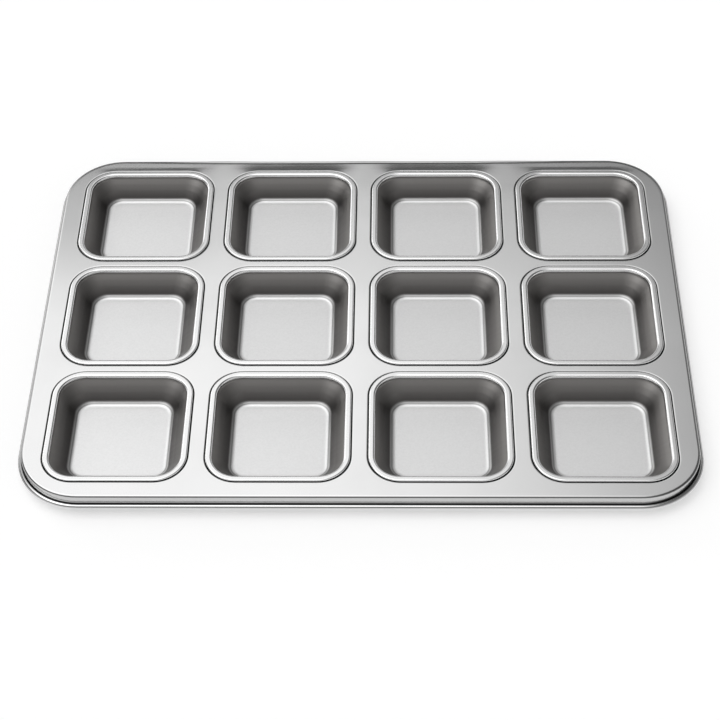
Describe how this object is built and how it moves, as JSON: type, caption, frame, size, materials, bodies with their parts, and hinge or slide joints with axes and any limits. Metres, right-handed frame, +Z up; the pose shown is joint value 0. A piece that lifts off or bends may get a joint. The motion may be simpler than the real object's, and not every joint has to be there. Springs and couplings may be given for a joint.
{
  "type": "square muffin pan",
  "caption": "Shallow baking pan of square drawn steel cups locked into a punched top plate with a rolled, wired rim; holds batter in rounded square portions while it bakes.",
  "frame": {"origin": "on the surface that the pan stands on, under the middle of its outline", "axes": "+X along the pan's length, to the viewer's right in the picture; +Y across it, away from the viewer; +Z up"},
  "size_m": [0.4, 0.2934, 0.0153],
  "materials": {
    "plate_tinned_steel": "bright tinned sheet, satin",
    "cup_tinned_steel": "bright tinned sheet, drawn, satin",
    "wire_steel": "plain drawn wire"
  },
  "bodies": {
    "root": {"top_plate": "plate_tinned_steel", "rim_wire": "wire_steel", "cup_front_1": "cup_tinned_steel", "cup_front_2": "cup_tinned_steel", "cup_front_3": "cup_tinned_steel", "cup_front_4": "cup_tinned_steel", "cup_middle_1": "cup_tinned_steel", "cup_middle_2": "cup_tinned_steel", "cup_middle_3": "cup_tinned_steel", "cup_middle_4": "cup_tinned_steel", "cup_back_1": "cup_tinned_steel", "cup_back_2": "cup_tinned_steel", "cup_back_3": "cup_tinned_steel", "cup_back_4": "cup_tinned_steel"}
  },
  "joints": []
}
